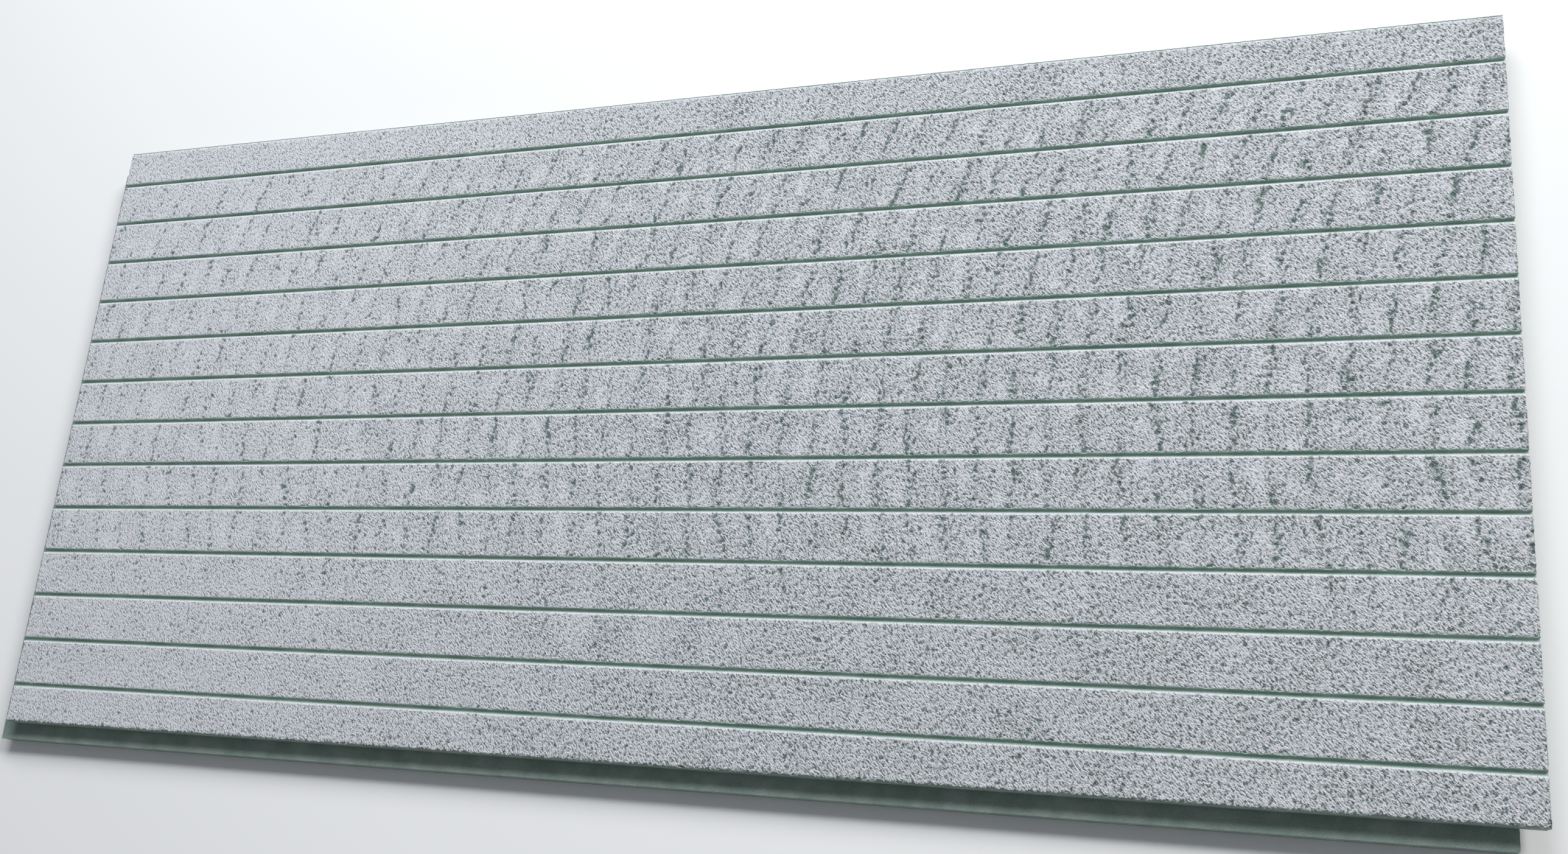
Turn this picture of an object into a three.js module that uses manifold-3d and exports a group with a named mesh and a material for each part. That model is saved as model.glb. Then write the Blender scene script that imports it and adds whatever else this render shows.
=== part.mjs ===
// Insulation board of extruded polystyrene foam, with half-lapped edges and a grooved, planed face.
// Millimetres, +Z up. The board lies flat with its grooved face up and its back on z = 0.
// X runs along the board and Y across it. The origin is the middle of the back, as seen in outline.

import * as THREE from 'three';
import * as BufferGeometryUtils from 'three/addons/utils/BufferGeometryUtils.js';
import Module from 'manifold-3d';

// Cover size: what one board covers once it is lapped with its neighbours
const coverLength = 1250;
const coverWidth = 600;
const thickness = 30;

// Half laps: two edges keep a lower lip, the two edges across from them keep an upper lip.
// Both lips meet at lapHeight, so the upper lip of one board seats on the lower lip of the next.
const lapReach = 15;
const lapHeight = 15;

// Grooves: they run the full length of the face and are open at both ends
const grooveWidth = 3;
const grooveDepth = 3;
const groovePitch = 43.9;
const firstGrooveInset = 38;
const lastLandWidth = 30;
const lipEase = 0.6;

// How far a cutter runs past the foam that it cuts
const overrun = 5;

const foam = new THREE.MeshStandardMaterial({
  name: 'extruded_polystyrene_foam',
  color: 0xc3ccc9,
  roughness: 0.85,
  metalness: 0,
});

const blankLength = coverLength + lapReach;
const blankWidth = coverWidth + lapReach;
const faceEdgeY = blankWidth / 2;

const wasm = await Module();
wasm.setup();

// A closed three.js geometry, as a solid that can be cut
function toSolid(geometry) {
  const bare = geometry.clone();
  bare.deleteAttribute('normal');
  bare.deleteAttribute('uv');
  const merged = BufferGeometryUtils.mergeVertices(bare);
  return new wasm.Manifold(new wasm.Mesh({
    numProp: 3,
    vertProperties: new Float32Array(merged.attributes.position.array),
    triVerts: new Uint32Array(merged.index.array),
  }));
}

// A solid, back as a flat-shaded three.js geometry
function toGeometry(solid) {
  const mesh = solid.getMesh();
  const indexed = new THREE.BufferGeometry();
  indexed.setAttribute('position', new THREE.BufferAttribute(mesh.vertProperties, 3));
  indexed.setIndex(new THREE.BufferAttribute(mesh.triVerts, 1));
  const geometry = indexed.toNonIndexed();
  geometry.computeVertexNormals();
  return geometry;
}

// A block between two corners
function block(low, high) {
  const size = new THREE.Vector3().subVectors(high, low);
  const middle = new THREE.Vector3().addVectors(low, high).multiplyScalar(0.5);
  return new THREE.BoxGeometry(size.x, size.y, size.z).translate(middle.x, middle.y, middle.z);
}

// The blank as it leaves the extrusion line: the cover size and one lap more each way
function makeBlank() {
  const low = new THREE.Vector3(-blankLength / 2, -blankWidth / 2, 0);
  const high = new THREE.Vector3(blankLength / 2, blankWidth / 2, thickness);
  return toSolid(block(low, high));
}

// The rebate along one edge. axis is 'x' or 'y', side is -1 or +1.
// On the -1 sides the foam above lapHeight goes, on the +1 sides the foam below it.
function makeRebate(axis, side) {
  const reach = { x: blankLength / 2, y: blankWidth / 2 };
  const low = new THREE.Vector3(-reach.x - overrun, -reach.y - overrun, -overrun);
  const high = new THREE.Vector3(reach.x + overrun, reach.y + overrun, thickness + overrun);
  if (side < 0) {
    high[axis] = -reach[axis] + lapReach;
    low.z = lapHeight;
  } else {
    low[axis] = reach[axis] - lapReach;
    high.z = lapHeight;
  }
  return toSolid(block(low, high));
}

// Groove section across the board: a square slot whose two lips are eased at 45 degrees
function grooveSection() {
  const slot = grooveWidth / 2;
  const mouth = slot + lipEase;
  return new THREE.Shape([
    new THREE.Vector2(-slot, -grooveDepth),
    new THREE.Vector2(slot, -grooveDepth),
    new THREE.Vector2(slot, -lipEase),
    new THREE.Vector2(mouth, 0),
    new THREE.Vector2(mouth, overrun),
    new THREE.Vector2(-mouth, overrun),
    new THREE.Vector2(-mouth, 0),
    new THREE.Vector2(-slot, -lipEase),
  ]);
}

// The section's own axes turned to the board's: across is Y, up is Z, and it is drawn out along X
function makeGroove(y) {
  const run = blankLength + 2 * overrun;
  const geometry = new THREE.ExtrudeGeometry(grooveSection(), { depth: run, bevelEnabled: false });
  const turn = new THREE.Matrix4().makeBasis(
    new THREE.Vector3(0, 1, 0),
    new THREE.Vector3(0, 0, 1),
    new THREE.Vector3(1, 0, 0),
  );
  geometry.applyMatrix4(turn).translate(-run / 2, y, thickness);
  return toSolid(geometry);
}

// Groove centre lines, counted from the face's +Y edge, for as long as a last land is left
function grooveLines() {
  const room = coverWidth - firstGrooveInset - lastLandWidth;
  const count = Math.floor(room / groovePitch) + 1;
  return Array.from({ length: count }, (_, i) => faceEdgeY - firstGrooveInset - i * groovePitch);
}

function makeBoard() {
  let solid = makeBlank();
  for (const axis of ['x', 'y']) {
    for (const side of [-1, 1]) {
      solid = solid.subtract(makeRebate(axis, side));
    }
  }
  for (const y of grooveLines()) {
    solid = solid.subtract(makeGroove(y));
  }
  const board = new THREE.Mesh(toGeometry(solid), foam);
  board.name = 'board';
  return board;
}

const part = new THREE.Group();
part.add(makeBoard());

export default part;
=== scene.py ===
# %% [markdown]
# # A grooved foam insulation board
#
# The board is one slab of extruded polystyrene foam. It leaves the extruder with a closed skin on
# both sides. A planer then tears the skin off one face so that plaster can grip it, a row of small
# cutters ploughs grooves along that face, and a router cuts half laps into all four edges.
#
# The script follows the same order. It loads the measured model, builds the slab with its laps,
# lays the torn face on it land by land, makes the foam's finishes, and sets up light and camera.

import math

import bpy
import numpy as np
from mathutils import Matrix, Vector


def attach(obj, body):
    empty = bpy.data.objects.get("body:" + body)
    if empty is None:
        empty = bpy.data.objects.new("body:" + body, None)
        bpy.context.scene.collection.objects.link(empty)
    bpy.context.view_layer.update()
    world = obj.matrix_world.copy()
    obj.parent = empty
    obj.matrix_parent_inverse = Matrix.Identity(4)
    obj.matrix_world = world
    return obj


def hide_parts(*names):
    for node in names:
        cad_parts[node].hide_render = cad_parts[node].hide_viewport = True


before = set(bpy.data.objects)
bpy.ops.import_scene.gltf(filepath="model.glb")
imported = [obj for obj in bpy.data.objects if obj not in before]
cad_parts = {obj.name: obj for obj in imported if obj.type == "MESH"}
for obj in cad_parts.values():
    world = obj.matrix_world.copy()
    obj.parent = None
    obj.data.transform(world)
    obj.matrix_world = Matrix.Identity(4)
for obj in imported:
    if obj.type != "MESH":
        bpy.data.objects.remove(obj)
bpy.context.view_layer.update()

# %% [markdown]
# ## Sizes
#
# Every size below is in millimetres, as on a workshop drawing, and only the last step turns them
# into metres. The board's own sizes are not typed in again. They are read off the measured model:
# its corners lie on five levels, and the corners on the groove floors come in pairs, one for each
# wall of a groove.

# %% Read the board's sizes off its corners
MM = 0.001
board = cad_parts["board"]
corners = np.zeros(len(board.data.vertices) * 3)
board.data.vertices.foreach_get("co", corners)
corners = np.round(corners.reshape(-1, 3) / MM, 2)

back_z, lap_z, floor_z, ease_z, face_z = np.unique(corners[:, 2])


def reach(level, axis):
    """Lowest and highest place of the corners on one level, along one axis."""
    line = corners[corners[:, 2] == level, axis]
    return line.min(), line.max()


back_x, back_y = reach(back_z, 0), reach(back_z, 1)
face_x, face_y = reach(face_z, 0), reach(face_z, 1)
groove_walls = np.unique(corners[corners[:, 2] == floor_z, 1]).reshape(-1, 2)
lip_ease = face_z - ease_z
print("levels", back_z, lap_z, floor_z, ease_z, face_z, "grooves", len(groove_walls))

# %% [markdown]
# ## Building meshes from arrays
#
# A mesh is a list of points and a list of faces. Blender takes both as flat arrays, which is much
# faster than adding points one by one, and lets numpy do the arithmetic. Quads fill the surfaces,
# and a few many-sided faces close the ends.


# %% A piece from points, quads and end faces
def make_piece(name, points, quads, caps, quad_finish, cap_finish, materials, sharp=60):
    """A mesh object from points in millimetres. quad_finish and cap_finish number each face's
    material. Edges that turn by more than sharp degrees stay crisp, and the rest is shaded smooth."""
    loops = np.concatenate([quads.ravel(), *caps])
    sizes = np.array([4] * len(quads) + [len(cap) for cap in caps])
    mesh = bpy.data.meshes.new(name)
    mesh.vertices.add(len(points))
    mesh.vertices.foreach_set("co", (points * MM).astype(np.float32).ravel())
    mesh.loops.add(len(loops))
    mesh.loops.foreach_set("vertex_index", loops.astype(np.int32))
    mesh.polygons.add(len(sizes))
    mesh.polygons.foreach_set("loop_start", np.concatenate([[0], np.cumsum(sizes)[:-1]]).astype(np.int32))
    mesh.polygons.foreach_set("material_index", np.concatenate([quad_finish, cap_finish]).astype(np.int32))
    mesh.polygons.foreach_set("use_smooth", sizes == 4)
    for material in materials:
        mesh.materials.append(material)
    mesh.update(calc_edges=True)
    mesh.validate()
    mesh.set_sharp_from_angle(angle=math.radians(sharp))
    piece = bpy.data.objects.new(name, mesh)
    bpy.context.scene.collection.objects.link(piece)
    return piece


def grid_quads(across, along):
    """Quads between neighbouring points of an along by across grid, numbered row by row."""
    a, b = np.meshgrid(np.arange(along - 1), np.arange(across - 1), indexing="ij")
    first = (a * across + b).ravel()
    return np.stack([first, first + across, first + across + 1, first + 1], 1)


# %% [markdown]
# ## Noise of a known size
#
# Torn foam looks random, but not at every scale: its cells and chips have a size. The recipe is to
# start from white noise and keep only waves near one wavelength, with a Fourier transform. The
# wavelength is then a real length in millimetres that can be measured on the board.


# %% Waves of one size
def waves(shape, pitch, size, seed, spread=0.45, stretch=1.0, turn=0.0):
    """Random waves about size mm long, with mean 0 and spread 1, on a grid with pitch mm between
    points. Each frequency f is weighted by exp(-(ln(f * size) / spread) ** 2). stretch makes the
    waves that many times longer along a line turned by turn degrees from the grid's first axis."""
    white = np.fft.rfft2(np.random.default_rng(seed).standard_normal(shape))
    fx = np.fft.fftfreq(shape[0], pitch)[:, None]
    fy = np.fft.rfftfreq(shape[1], pitch)[None, :]
    angle = math.radians(turn)
    lengthwise = (fx * math.cos(angle) + fy * math.sin(angle)) * stretch
    sideways = fy * math.cos(angle) - fx * math.sin(angle)
    f = np.hypot(lengthwise, sideways)
    weight = np.exp(-(np.log(np.maximum(f, 1e-9) * size) / spread) ** 2)
    field = np.fft.irfft2(white * weight, shape)
    return (field - field.mean()) / field.std()


def ramp(value, low, high):
    """0 below low, 1 above high, and a smooth S between them."""
    t = np.clip((value - low) / (high - low), 0, 1)
    return t * t * (3 - 2 * t)


# %% [markdown]
# ## The planed face
#
# The planer's knives do not cut foam, they pluck at it. Between two strokes the face is a pale,
# finely chipped plain. Where a stroke ends, every 26 mm along the board, the knife pulls out
# whole groups of cells and leaves a row of pits across the board. The rows bow a little, they are
# strong in the middle of the board and nearly gone along one side, and the end of the board that
# went in first is smoother than the rest.
#
# The face is one height map. Each point gets a depth below the face, made of fine chips, pits and
# the knife's shallow waves. Two more values go along for the finish: how far the foam is torn open
# plus painted shade, which darkens the deep chips and pits, and how rough its region is.

# %% The sheet that the torn face is worked out on
sheet_pitch = 1.36  # between two points, in mm: as fine as a million triangles allow
face_length = face_x[1] - face_x[0]
face_width = face_y[1] - face_y[0]
stations = int(face_length / sheet_pitch) + 1
rows = int(face_width / sheet_pitch) + 2
sheet = (stations, rows)
x = np.linspace(0, face_length, stations)[:, None]
v = (np.arange(rows) * sheet_pitch)[None, :]  # from the +Y edge towards the -Y edge
print("sheet of", stations, "by", rows, "points")

# %% Rows of pits left by the planer's strokes
stroke = 25.9  # from one row to the next
row_width = 3.1
bow, bow_middle = 60.0, 320.0  # how far a row bows over half the width, and where it turns back
wander = 1.6 * waves(sheet, sheet_pitch, 60, seed=11) + 0.8 * waves(sheet, sheet_pitch, 13, seed=13)
phase = (x - bow * ((v - bow_middle) / (face_width / 2)) ** 2 - wander) / stroke
from_row = (phase - np.round(phase)) * stroke
near_row = np.exp(-((from_row / row_width) ** 2))
with_rows = ramp(v, 36, 44) * (1 - ramp(v, 385, 500))  # none on the first land, fading on the last
row_strength = 0.10 + 0.90 * with_rows
row_strength = row_strength * np.clip(1 + 0.25 * waves(sheet, sheet_pitch, 45, seed=14), 0.3, 1.5)
print("rows of pits:", int(face_length / stroke), "one every", stroke, "mm")

# %% How rough each region is
smooth_end, rough_end = 0.80, 1.38
streak_pitch = 5.6  # of the faint lengthwise streaks where the rows fade
patches = waves(sheet, sheet_pitch, 70, seed=12)
glide = np.exp(-(((from_row + 9) / 7) ** 2))  # the strip where the knife glides before it bites
calm = ramp(waves(sheet, sheet_pitch, 34, seed=15), -0.1, 0.9) * glide * with_rows
no_rows = ramp(v, 380, 440) + (1 - ramp(v, 34, 42))
roughness = smooth_end + (rough_end - smooth_end) * ramp(x, 30, 800)
roughness = roughness * (1 + 0.06 * patches) * (1 - 0.35 * calm)
streaks = (0.5 + 0.5 * np.cos(2 * np.pi * v / streak_pitch)) * ramp(v, 380, 430)
print("roughness from", roughness.min().round(2), "to", roughness.max().round(2))

# %% Chips, pits and the knife's waves
lean = 52  # the torn flecks lean this many degrees off the board's length
chip_depth, pit_depth, wave_depth = 0.27, 1.2, 0.05
fine = waves(sheet, sheet_pitch, 3.4, seed=21, spread=0.4, stretch=2.0, turn=lean)
clump = waves(sheet, sheet_pitch, 7.5, seed=22, spread=0.5, stretch=1.3, turn=75)
split = waves(sheet, sheet_pitch, 4.0, seed=24, spread=0.5, stretch=1.5, turn=60)
broad = 0.6 * clump + 0.6 * split + 0.45 * fine
pull = near_row * row_strength
chips = np.clip(fine + 0.1 + 0.4 * pull - 0.15 * streaks, 0, 2.2) * roughness
pits = np.clip(broad - 1.9 + 1.5 * pull + 0.6 * (roughness - 1.15) + 0.2 * no_rows, 0, 0.8) / 0.8
knife_wave = wave_depth * (1 - np.cos(2 * np.pi * from_row / stroke))
depth = 0.06 + knife_wave + chip_depth * chips + pit_depth * pits
# torn foam plus painted shade: deeper chips and pits get a darker, greener colour
torn_and_shade = np.clip(0.12 + 0.12 * chips + 0.75 * pits, 0, 1)
print("depth of the face, mm: mean", depth.mean().round(2), "deepest", depth.max().round(2))

# %% [markdown]
# ## Lands
#
# The grooves divide the face into lands. Each land is a bar with the torn face on top, made by
# carrying one closed profile along the board: up one groove wall, over its eased lip, across the
# face, over the other lip, down the other wall and back underneath. The lip that the cutter left
# on the +Y side of each land is clean and the one on the -Y side is ragged. At the board's own
# edges the foam has crumbled, so the outermost points step inwards by a random amount. Above the
# groove floors the walls stand flush on the slab, so that no joint shows.

# %% Profile of a land, carried along the board
sink = 0.4  # the bar's foot goes this far into the slab
foot_step = 0.1  # and at the board's own edges it stands this far inside the slab's wall
lip_band = 1.2  # width of the clean strip along the +Y lip
wall_points = 3  # on each side: foot, groove floor and eased lip


def crumble(count, size, most, seed):
    """Random steps inwards along an edge, each about size mm long and at most most mm deep."""
    wave = waves((count, 8), sheet_pitch, size, seed)[:, 0]
    return most * np.clip(0.35 + 0.4 * wave, 0, 1)


def land_points(low, high, seed):
    """Points of a land between two y lines, how torn each is plus its painted shade, and how rough.
    The first index runs along the board, the second round the profile."""
    outer_low, outer_high = low == face_y[0], high == face_y[1]
    count = int((high - low - 2 * lip_ease) / sheet_pitch) + 1
    first = int((face_y[1] - high) / sheet_pitch)
    top_y = np.linspace(high - lip_ease, low + lip_ease, count)
    top_depth = depth[:, first:first + count].copy()
    top_torn_and_shade = torn_and_shade[:, first:first + count].copy()
    top_rough = roughness[:, first:first + count].copy()
    clean = 1 - np.exp(-(((high - top_y) / lip_band) ** 2))
    # painted shade along the -Y lip, where the face falls away into the groove or down to the ledge
    low_lip_shade = np.exp(-(((top_y - low) / 0.6) ** 2))
    top_depth = top_depth * clean + 0.02
    top_torn_and_shade = top_torn_and_shade * clean + 0.15 * low_lip_shade
    top_rough = top_rough * clean
    if outer_high:
        top_depth += 0.9 * np.exp(-(((high - top_y) / 2.2) ** 2))
    wall_z = np.broadcast_to([floor_z - sink, floor_z, ease_z], (stations, wall_points))
    z = np.concatenate([wall_z, face_z - top_depth, wall_z[:, ::-1]], 1)
    profile_y = np.concatenate([[high] * wall_points, top_y, [low] * wall_points])
    y = np.broadcast_to(profile_y, z.shape).copy()
    along = np.broadcast_to(np.linspace(*face_x, stations)[:, None], z.shape).copy()
    plain = np.zeros((stations, wall_points))
    opened_and_shade = np.concatenate([plain, top_torn_and_shade, plain], 1)
    uneven = np.concatenate([plain, top_rough, plain], 1)
    first_top, last_top = wall_points, -wall_points - 1
    broken = crumble(stations, 3.6, 1.5 if outer_low else 0.3, seed)
    y[:, last_top] += broken
    z[:, last_top] -= 0.3 * broken
    y[:, last_top + 1] += 0.4 * broken
    z[:, last_top + 1] -= 0.5 * broken
    if outer_high:
        soft = crumble(stations, 5, 0.6, seed + 100)
        y[:, first_top] -= soft
        y[:, first_top - 1] -= 0.4 * soft
    y[:, 0] -= foot_step * outer_high
    y[:, -1] += foot_step * outer_low
    end_chips = crumble(count, 3.6, 0.7, seed + 200)
    along[0, first_top:last_top + 1] += end_chips
    along[-1, first_top:last_top + 1] -= end_chips[::-1]
    return np.stack([along, y, z], 2), opened_and_shade, uneven


# %% [markdown]
# ## Finishes
#
# Everything here is the same pale green foam. What differs is how its surface was made. Torn cells
# scatter the light and look almost white, and only the bottoms of pits show the foam's own green.
# The torn finish also carries painted shade: it is drawn darker in chips, in the dips of its flakes
# and in pits. A routed or ploughed surface is closed and smoother, so it is greener; the routed
# finish is drawn darker than the ploughed one, painted shade as on the ledge under the face. The
# extruded skin is closed too and has a faint shine.

# %% Colours, and one function that adds a node
def srgb(code):
    """A colour as the eye reads it, #rrggbb, turned to the linear light that Blender works in."""
    channels = np.array([int(code[i:i + 2], 16) for i in (1, 3, 5)]) / 255
    linear = np.where(channels <= 0.04045, channels / 12.92, ((channels + 0.055) / 1.055) ** 2.4)
    return (*linear.tolist(), 1.0)


def add(tree, kind, settings=None, inputs=None):
    """Adds a node. settings are its own options. inputs maps a socket's name or number to a value
    or to the output that feeds it."""
    made = tree.nodes.new(kind)
    for option, value in (settings or {}).items():
        setattr(made, option, value)
    for socket, value in (inputs or {}).items():
        if isinstance(value, bpy.types.NodeSocket):
            tree.links.new(value, made.inputs[socket])
        else:
            made.inputs[socket].default_value = value
    return made


def new_material(name):
    """A material with an empty node tree, and its surface shader."""
    material = bpy.data.materials.new(name)
    material.use_nodes = True
    tree = material.node_tree
    tree.nodes.clear()
    shader = add(tree, "ShaderNodeBsdfPrincipled")
    add(tree, "ShaderNodeOutputMaterial", inputs={"Surface": shader.outputs["BSDF"]})
    return material, tree, shader


# %% Torn foam of the planed face
def make_torn_foam_and_shade():
    """Extruded polystyrene torn open by a planer: matt and nearly white, drawn darker and greener
    where it is deep: the foam's own green plus painted shade in chips, holes and pits.
    """
    material, tree, shader = new_material("planed_torn_polystyrene_painted_shade")
    place = add(tree, "ShaderNodeTexCoord").outputs["Object"]
    turned = add(tree, "ShaderNodeMapping", {"vector_type": "TEXTURE"}, {
        "Vector": place, "Rotation": (0, 0, math.radians(-lean)), "Scale": (1.8, 1, 1)})
    flakes = add(tree, "ShaderNodeTexNoise", {}, {
        "Vector": turned.outputs[0], "Scale": 1 / (1.3 * MM), "Detail": 2, "Roughness": 0.5})
    torn_and_shade_value = add(tree, "ShaderNodeAttribute", {"attribute_name": "torn_and_shade"}).outputs["Fac"]
    uneven = add(tree, "ShaderNodeAttribute", {"attribute_name": "rough"}).outputs["Fac"]
    # painted shade: the colour darkens in the small dips of the flakes, more where the region is rough
    hole_shade = add(tree, "ShaderNodeMapRange", {"interpolation_type": "SMOOTHSTEP"}, {
        "Value": flakes.outputs[0], "From Min": 0.47, "From Max": 0.32})
    rough_hole_shade = add(tree, "ShaderNodeMath", {"operation": "MULTIPLY"}, {0: hole_shade.outputs[0], 1: uneven})
    shaded = add(tree, "ShaderNodeMath", {"operation": "MULTIPLY_ADD"}, {
        0: rough_hole_shade.outputs[0], 1: 0.65, 2: torn_and_shade_value})
    # pale torn face, then the neutral grey of painted shade in chips, then dark green: the foam's own
    # green plus painted shade in pits
    colour = add(tree, "ShaderNodeValToRGB", {}, {"Fac": shaded.outputs[0]})
    stops = colour.color_ramp.elements
    stops[0].position, stops[0].color = 0.0, srgb("#d8dadc")
    stops[1].position, stops[1].color = 1.0, srgb("#657d74")
    for position, code in ((0.12, "#dadbde"), (0.45, "#a5abac")):
        stops.new(position).color = srgb(code)
    tree.links.new(colour.outputs[0], shader.inputs["Base Color"])
    height = add(tree, "ShaderNodeMath", {"operation": "MULTIPLY"}, {0: flakes.outputs[0], 1: uneven})
    bump = add(tree, "ShaderNodeBump", {}, {
        "Height": height.outputs[0], "Strength": 1.0, "Distance": 2.0 * MM})
    tree.links.new(bump.outputs[0], shader.inputs["Normal"])
    shader.inputs["Roughness"].default_value = 0.85
    shader.inputs["IOR"].default_value = 1.3
    return material


# %% Foam cut by a tool
def make_cut_foam(name, dark, light):
    """Extruded polystyrene ploughed or routed: closed and even, so it shows more of its green. The
    fine grain is the cut cells, and the lines at one height are the cutter's passes."""
    material, tree, shader = new_material(name)
    place = add(tree, "ShaderNodeTexCoord").outputs["Object"]
    cells = add(tree, "ShaderNodeTexVoronoi", {}, {"Vector": place, "Scale": 1 / (0.9 * MM)})
    level = add(tree, "ShaderNodeMapping", {}, {"Vector": place, "Scale": (0.01, 0.01, 1)})
    passes = add(tree, "ShaderNodeTexNoise", {}, {
        "Vector": level.outputs[0], "Scale": 1 / (1.6 * MM), "Detail": 2})
    clouds = add(tree, "ShaderNodeTexNoise", {}, {"Vector": place, "Scale": 1 / (18 * MM), "Detail": 5})
    tone = add(tree, "ShaderNodeMath", {"operation": "MULTIPLY_ADD"}, {
        0: passes.outputs[0], 1: 0.35, 2: clouds.outputs[0]})
    grainy = add(tree, "ShaderNodeMath", {"operation": "MULTIPLY_ADD"}, {
        0: cells.outputs["Distance"], 1: -0.4, 2: tone.outputs[0]})
    colour = add(tree, "ShaderNodeValToRGB", {}, {"Fac": grainy.outputs[0]})
    stops = colour.color_ramp.elements
    stops[0].position, stops[0].color = 0.30, srgb(dark)
    stops[1].position, stops[1].color = 0.75, srgb(light)
    tree.links.new(colour.outputs[0], shader.inputs["Base Color"])
    height = add(tree, "ShaderNodeMath", {"operation": "MULTIPLY_ADD"}, {
        0: passes.outputs[0], 1: 0.8, 2: cells.outputs["Distance"]})
    bump = add(tree, "ShaderNodeBump", {}, {
        "Height": height.outputs[0], "Strength": 1.0, "Distance": 0.3 * MM})
    tree.links.new(bump.outputs[0], shader.inputs["Normal"])
    shader.inputs["Roughness"].default_value = 0.7
    shader.inputs["IOR"].default_value = 1.3
    return material


# %% The extruder's skin on the back
def make_skin():
    """The closed skin of the extrusion: smooth, faintly shiny, with soft lines along the board."""
    material, tree, shader = new_material("extruded_polystyrene_skin")
    place = add(tree, "ShaderNodeTexCoord").outputs["Object"]
    drawn = add(tree, "ShaderNodeMapping", {}, {"Vector": place, "Scale": (0.02, 1, 1)})
    lines = add(tree, "ShaderNodeTexNoise", {}, {
        "Vector": drawn.outputs[0], "Scale": 1 / (7 * MM), "Detail": 4})
    colour = add(tree, "ShaderNodeValToRGB", {}, {"Fac": lines.outputs[0]})
    stops = colour.color_ramp.elements
    stops[0].position, stops[0].color = 0.3, srgb("#a9bdb4")
    stops[1].position, stops[1].color = 0.7, srgb("#b9cac3")
    tree.links.new(colour.outputs[0], shader.inputs["Base Color"])
    bump = add(tree, "ShaderNodeBump", {}, {
        "Height": lines.outputs[0], "Strength": 0.2, "Distance": 0.4 * MM})
    tree.links.new(bump.outputs[0], shader.inputs["Normal"])
    shader.inputs["Roughness"].default_value = 0.45
    shader.inputs["IOR"].default_value = 1.45
    return material


finishes = [
    make_torn_foam_and_shade(),
    # routed foam drawn darker than the ploughed foam: its own green plus painted shade, as on the ledge in
    # the shade of the face
    make_cut_foam("routed_polystyrene_painted_shade", "#84968c", "#a3b0a7"),
    make_cut_foam("ploughed_polystyrene", "#a0b6ab", "#bccdc4"),
    make_skin(),
]
TORN_SHADED, ROUTED_SHADED, PLOUGHED, SKIN = range(4)
print("finishes:", [finish.name for finish in finishes])

# %% [markdown]
# ## The slab with its laps
#
# The slab below the grooves has two outlines, shifted against each other by one lap. Its surface
# is a set of flat panels: walls for each outline, the ledge, and the underside of the lip. Each
# panel is a grid. Points that two panels share are merged, so the surface is closed, and then
# every point is pushed inwards a little, along the sum of its panels' normals. On an arris that
# sum points diagonally, which is how the arrises get their slightly worn line. The wear fades out
# towards the groove floors, where the lands stand on the slab.

# %% Panels of the slab
wall_pitch = 2.4  # between the lines of a panel's grid
least_wear, more_wear = 0.10, 0.16


def lines(low, high):
    """Evenly spaced lines from low to high, about wall_pitch apart."""
    return np.linspace(low, high, max(2, int(round((high - low) / wall_pitch)) + 1))


def joined(*ends):
    """Lines from the first end to the last that meet each end on the way."""
    parts = [lines(a, b)[:-1] for a, b in zip(ends, ends[1:])]
    return np.concatenate([*parts, [ends[-1]]])


def panel(axis, at, first, second, outward):
    """A flat grid across one axis. first and second are its lines along the next two axes, in the
    order X, Y, Z, X. Returns its points, its quads turned outward, and its normal."""
    a, b = np.meshgrid(first, second, indexing="ij")
    points = np.empty((a.size, 3))
    points[:, axis], points[:, (axis + 1) % 3], points[:, (axis + 2) % 3] = at, a.ravel(), b.ravel()
    quads = grid_quads(len(second), len(first))
    normal = np.zeros(3)
    normal[axis] = outward
    return points, quads if outward > 0 else quads[:, ::-1], normal


def rim(xs, ys, z):
    """Points round a rectangle of lines at height z, anticlockwise as seen from above."""
    sides = [
        np.stack([xs[:-1], np.full(len(xs) - 1, ys[0])], 1),
        np.stack([np.full(len(ys) - 1, xs[-1]), ys[:-1]], 1),
        np.stack([xs[:0:-1], np.full(len(xs) - 1, ys[-1])], 1),
        np.stack([np.full(len(ys) - 1, xs[0]), ys[:0:-1]], 1),
    ]
    flat = np.concatenate(sides)
    return np.column_stack([flat, np.full(len(flat), z)])


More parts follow.
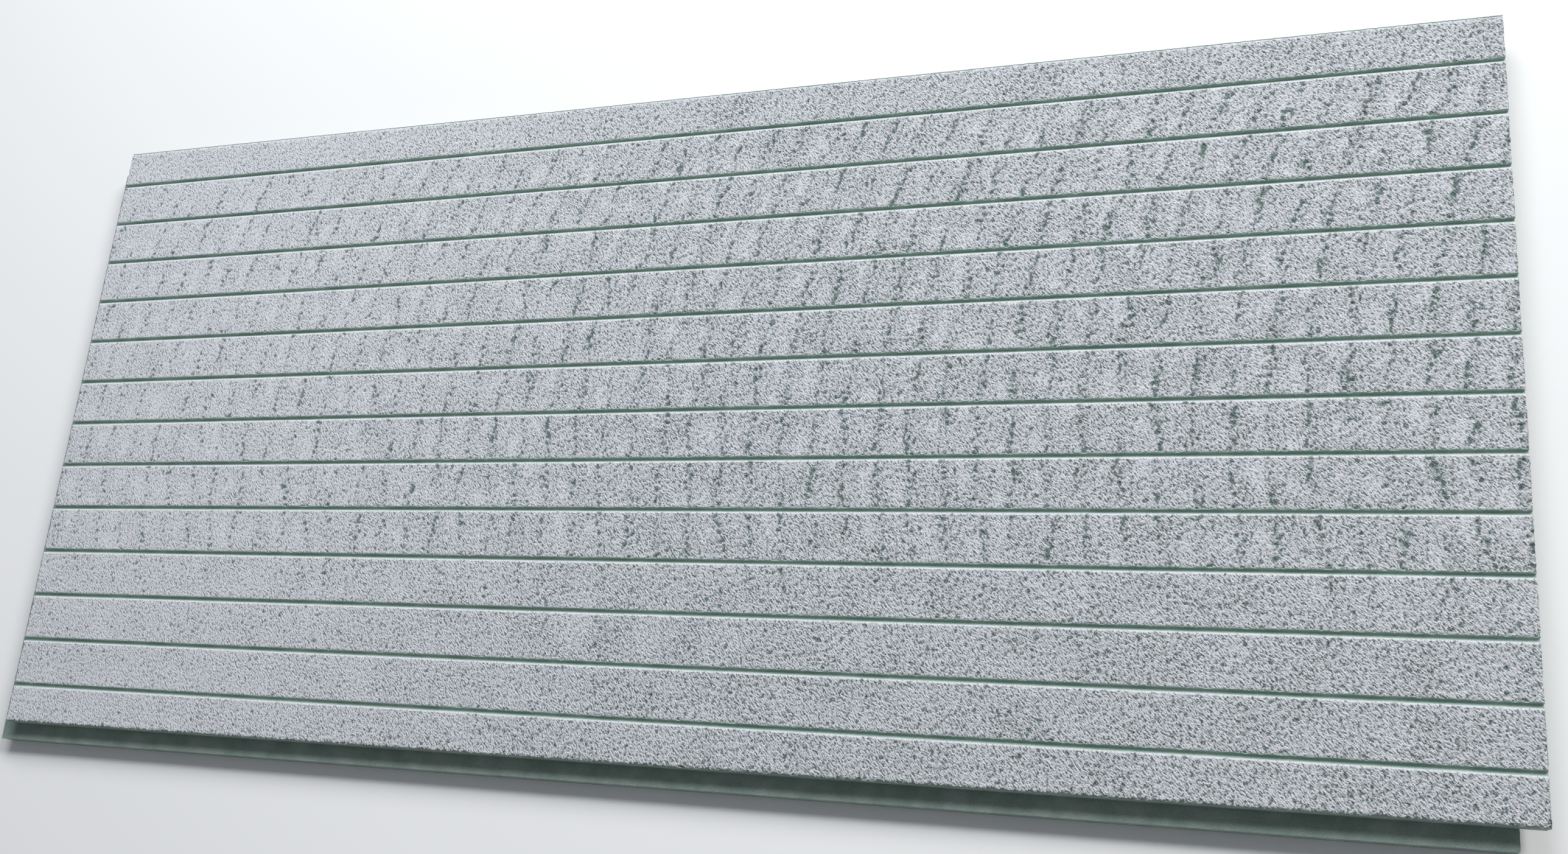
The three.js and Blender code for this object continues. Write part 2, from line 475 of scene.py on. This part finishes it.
def make_slab():
    """The slab up to the groove floors, with both outlines and the laps between them."""
    (x0, x2), (x1, x3) = back_x, face_x
    (y0, y2), (y1, y3) = back_y, face_y
    back_xs, back_ys = joined(x0, x1, x2), joined(y0, y1, y2)
    face_xs, face_ys = joined(x1, x2, x3), joined(y1, y2, y3)
    low_z, high_z = lines(back_z, lap_z), lines(lap_z, floor_z)
    panels = [
        panel(0, x0, back_ys, low_z, -1), panel(0, x2, back_ys, low_z, 1),
        panel(1, y0, low_z, back_xs, -1), panel(1, y2, low_z, back_xs, 1),
        panel(0, x1, face_ys, high_z, -1), panel(0, x3, face_ys, high_z, 1),
        panel(1, y1, high_z, face_xs, -1), panel(1, y3, high_z, face_xs, 1),
        panel(2, lap_z, lines(x0, x1), back_ys, 1), panel(2, lap_z, lines(x1, x2), lines(y0, y1), 1),
        panel(2, lap_z, lines(x2, x3), face_ys, -1), panel(2, lap_z, lines(x1, x2), lines(y2, y3), -1),
    ]
    caps = [rim(back_xs, back_ys, back_z)[::-1], rim(face_xs, face_ys, floor_z)]
    offsets = np.cumsum([0] + [len(points) for points, _, _ in panels])
    loose = np.concatenate([points for points, _, _ in panels] + caps)
    _, kept, merged = np.unique(np.round(loose, 3), axis=0, return_index=True, return_inverse=True)
    merged = merged.ravel()
    points = loose[kept]
    push = np.zeros_like(points)
    for (_, _, normal), start, end in zip(panels, offsets, offsets[1:]):
        push[np.unique(merged[start:end])] += normal
    quads = np.concatenate([merged[q + start] for (_, q, _), start in zip(panels, offsets)])
    ends = np.split(merged[offsets[-1]:], [len(caps[0])])
    wear = least_wear + more_wear * np.random.default_rng(31).random(len(points))
    wear = wear * (1 - ramp(points[:, 2], floor_z - 6, floor_z - 1))
    push = np.clip(push, -1, 1)
    worn = points - push * wear[:, None] * np.linalg.norm(push, axis=1)[:, None]
    return worn, quads, ends


# %% Make the slab
points, quads, ends = make_slab()
slab = make_piece("slab", points, quads, ends, np.full(len(quads), ROUTED_SHADED), [SKIN, PLOUGHED], finishes, 50)
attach(slab, "root")
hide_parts("board")
print("slab:", len(points), "points")

# %% Make the lands
def make_land(number, low, high):
    """One land between two y lines, as a closed bar."""
    points, opened_and_shade, uneven = land_points(low, high, seed=40 + number)
    along, across, _ = points.shape
    quads = grid_quads(across, along)
    first = np.arange(along - 1) * across
    under = np.stack([first + across - 1, first + 2 * across - 1, first + across, first], 1)
    ends = [np.arange(across)[::-1], (along - 1) * across + np.arange(across)]
    strip = np.arange(len(quads)) % (across - 1)
    high_wall = ROUTED_SHADED if high == face_y[1] else PLOUGHED
    low_wall = ROUTED_SHADED if low == face_y[0] else PLOUGHED
    last_top = across - 1 - wall_points
    finish = np.where(strip < wall_points, high_wall, np.where(strip >= last_top, low_wall, TORN_SHADED))
    land = make_piece(
        f"land_{number:02d}", points.reshape(-1, 3), np.concatenate([quads, under])[:, ::-1],
        [end[::-1] for end in ends], np.concatenate([finish, np.full(len(under), ROUTED_SHADED)]),
        [ROUTED_SHADED, ROUTED_SHADED], finishes, 65)
    for attribute, values in (("torn_and_shade", opened_and_shade), ("rough", uneven)):
        layer = land.data.attributes.new(attribute, "FLOAT", "POINT")
        layer.data.foreach_set("value", values.astype(np.float32).ravel())
    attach(land, "root")
    return land


edges = np.concatenate([[face_y[0]], groove_walls.ravel(), [face_y[1]]]).reshape(-1, 2)
lands = [make_land(i + 1, low, high) for i, (low, high) in enumerate(edges[::-1])]
print("lands:", len(lands), "with", sum(len(land.data.polygons) for land in lands), "faces")

# %% [markdown]
# ## Floor, light and camera
#
# A plain pale floor and soft boxes. The main light comes low from the board's right end and its
# far side, so that every chip and pit casts a little shadow, and the ledge on the near side lies
# in the shade of the face above it. The camera's place, turn and lens were fitted so that the
# face's corners and the grooves fall where the photograph shows them.

# %% Floor
def make_floor():
    """A wide flat floor at the height that the board lies on."""
    half = 6.0
    around = [(-half, -half, 0), (half, -half, 0), (half, half, 0), (-half, half, 0)]
    mesh = bpy.data.meshes.new("studio_floor")
    mesh.from_pydata(around, [], [(0, 1, 2, 3)])
    material, _, shader = new_material("pale_floor_paint")
    shader.inputs["Base Color"].default_value = srgb("#f2f2f0")
    shader.inputs["Roughness"].default_value = 0.9
    mesh.materials.append(material)
    floor = bpy.data.objects.new("studio_floor", mesh)
    bpy.context.scene.collection.objects.link(floor)


make_floor()


# %% Soft boxes
def soft_box(name, place, size, watts, colour, aim=(0, 0, 0)):
    """An area light of size by size metres at place, facing aim."""
    light = bpy.data.lights.new(name, "AREA")
    light.size, light.energy, light.color = size, watts, srgb(colour)[:3]
    holder = bpy.data.objects.new(name, light)
    holder.location = place
    holder.rotation_euler = (Vector(aim) - Vector(place)).to_track_quat("-Z", "Y").to_euler()
    bpy.context.scene.collection.objects.link(holder)


soft_box("key", (3.0, 2.7, 3.15), 1.5, 172, "#ffffff")
soft_box("top", (-0.1, 1.6, 1.8), 1.2, 34, "#f4f7ff")

world = bpy.data.worlds.new("room")
world.use_nodes = True
world.node_tree.nodes["Background"].inputs["Color"].default_value = srgb("#e8edf6")
world.node_tree.nodes["Background"].inputs["Strength"].default_value = 0.25
bpy.context.scene.world = world
bpy.context.scene.view_settings.view_transform = "Standard"

# %% Camera at the photograph's place
camera_place = (398.5, -421.7, 1103.9)
camera_turn = (17.70, 19.58, 6.70)
camera_lens = 33.10
camera_shift = (0.1053, 0.0694)

camera_data = bpy.data.cameras.new("camera")
camera_data.sensor_width, camera_data.lens = 36.0, camera_lens
camera_data.shift_x, camera_data.shift_y = camera_shift
camera = bpy.data.objects.new("camera", camera_data)
camera.location = [p * MM for p in camera_place]
camera.rotation_euler = [math.radians(a) for a in camera_turn]
bpy.context.scene.collection.objects.link(camera)
bpy.context.scene.camera = camera
print("camera", round((Vector(camera_place) - Vector((0, 0, face_z))).length), "mm from the face's middle")
